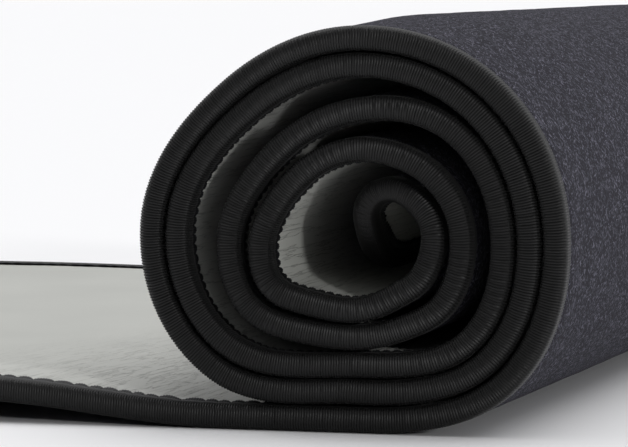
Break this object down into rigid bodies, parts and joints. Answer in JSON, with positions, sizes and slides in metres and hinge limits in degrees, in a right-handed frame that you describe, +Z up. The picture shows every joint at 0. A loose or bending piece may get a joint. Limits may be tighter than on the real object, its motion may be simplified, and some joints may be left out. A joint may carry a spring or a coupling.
{
  "type": "infrared sauna blanket",
  "caption": "Padded heating mat with a grey face and dark felt back, tape-bound edges, rolled up on its own flat tail.",
  "frame": {"origin": "centre of the footprint, on the floor that the blanket lies on", "axes": "+X from the free tail towards the roll, +Y along the roll away from its open near end, +Z up"},
  "size_m": [0.5866, 0.6, 0.1474],
  "materials": {
    "felt": "dense needled felt, dark charcoal with pale flecks",
    "wadding": "off-white needled polyester wadding",
    "pu_leather": "pale grey polyurethane leather with a fine matt grain",
    "carbon_film": "carbon fibre heating film, laminated",
    "copper": "bare copper strip",
    "binding_tape": "black ribbed grosgrain tape",
    "black_plastic": "fine textured black plastic",
    "white_plastic": "plain white plastic",
    "seal_rubber": "soft black rubber",
    "screw_steel": "zinc plated steel",
    "socket_metal": "nickel plated",
    "cutout_metal": "pressed metal case",
    "contact_brass": "gold coloured contact",
    "sensor_film": "amber polyimide film"
  },
  "bodies": {
    "root": {"root_felt_cover": "felt", "root_padding": "wadding", "root_heated_face": "pu_leather", "root_heating_film": "carbon_film", "root_busbar_near": "copper", "root_busbar_far": "copper", "root_binding_near": "binding_tape", "root_binding_far": "binding_tape"},
    "tail": {"tail_felt_cover": "felt", "tail_padding": "wadding", "tail_heated_face": "pu_leather", "tail_heating_film": "carbon_film", "tail_busbar_near": "copper", "tail_busbar_far": "copper", "tail_binding": "binding_tape", "inlet_cover": "black_plastic", "inlet_base_plate": "black_plastic", "inlet_gasket": "seal_rubber", "inlet_screw_1": "screw_steel", "inlet_screw_2": "screw_steel", "inlet_screw_3": "screw_steel", "inlet_screw_4": "screw_steel", "socket_collar": "socket_metal", "socket_insert": "white_plastic", "socket_pin_1": "contact_brass", "socket_pin_2": "contact_brass", "socket_pin_3": "contact_brass", "terminal_block": "white_plastic", "thermal_cutout": "cutout_metal", "lead_near": "copper", "lead_far": "copper", "film_temperature_sensor": "sensor_film"},
    "arc_1": {"arc_1_felt_cover": "felt", "arc_1_padding": "wadding", "arc_1_heated_face": "pu_leather", "arc_1_heating_film": "carbon_film", "arc_1_busbar_near": "copper", "arc_1_busbar_far": "copper", "arc_1_binding_near": "binding_tape", "arc_1_binding_far": "binding_tape"},
    "arc_2": {"arc_2_felt_cover": "felt", "arc_2_padding": "wadding", "arc_2_heated_face": "pu_leather", "arc_2_heating_film": "carbon_film", "arc_2_busbar_near": "copper", "arc_2_busbar_far": "copper", "arc_2_binding_near": "binding_tape", "arc_2_binding_far": "binding_tape"},
    "roll": {"roll_felt_cover": "felt", "roll_padding": "wadding", "roll_heated_face": "pu_leather", "roll_heating_film": "carbon_film", "roll_busbar_near": "copper", "roll_busbar_far": "copper", "roll_binding_near": "binding_tape", "roll_binding_far": "binding_tape"}
  },
  "joints": [
    {"name": "tail_lift", "type": "hinge", "parent": "root", "child": "tail", "pos_m": [0.08955, 0, 0.0092], "axis": [0, 1, 0], "range_deg": [0, 75]},
    {"name": "unroll_1", "type": "hinge", "parent": "root", "child": "arc_1", "pos_m": [0.27279, 0, 0.01543], "axis": [0, 1, 0], "range_deg": [0, 70]},
    {"name": "unroll_2", "type": "hinge", "parent": "arc_1", "child": "arc_2", "pos_m": [0.29334, 0, 0.07427], "axis": [0, 1, 0], "range_deg": [0, 56]},
    {"name": "unroll_3", "type": "hinge", "parent": "arc_2", "child": "roll", "pos_m": [0.25188, 0, 0.13917], "axis": [0, 1, 0], "range_deg": [0, 56]}
  ],
  "couplings": [
    {"joint": "unroll_2", "follows": "unroll_1", "ratio": 0.8},
    {"joint": "unroll_3", "follows": "unroll_1", "ratio": 0.8}
  ]
}
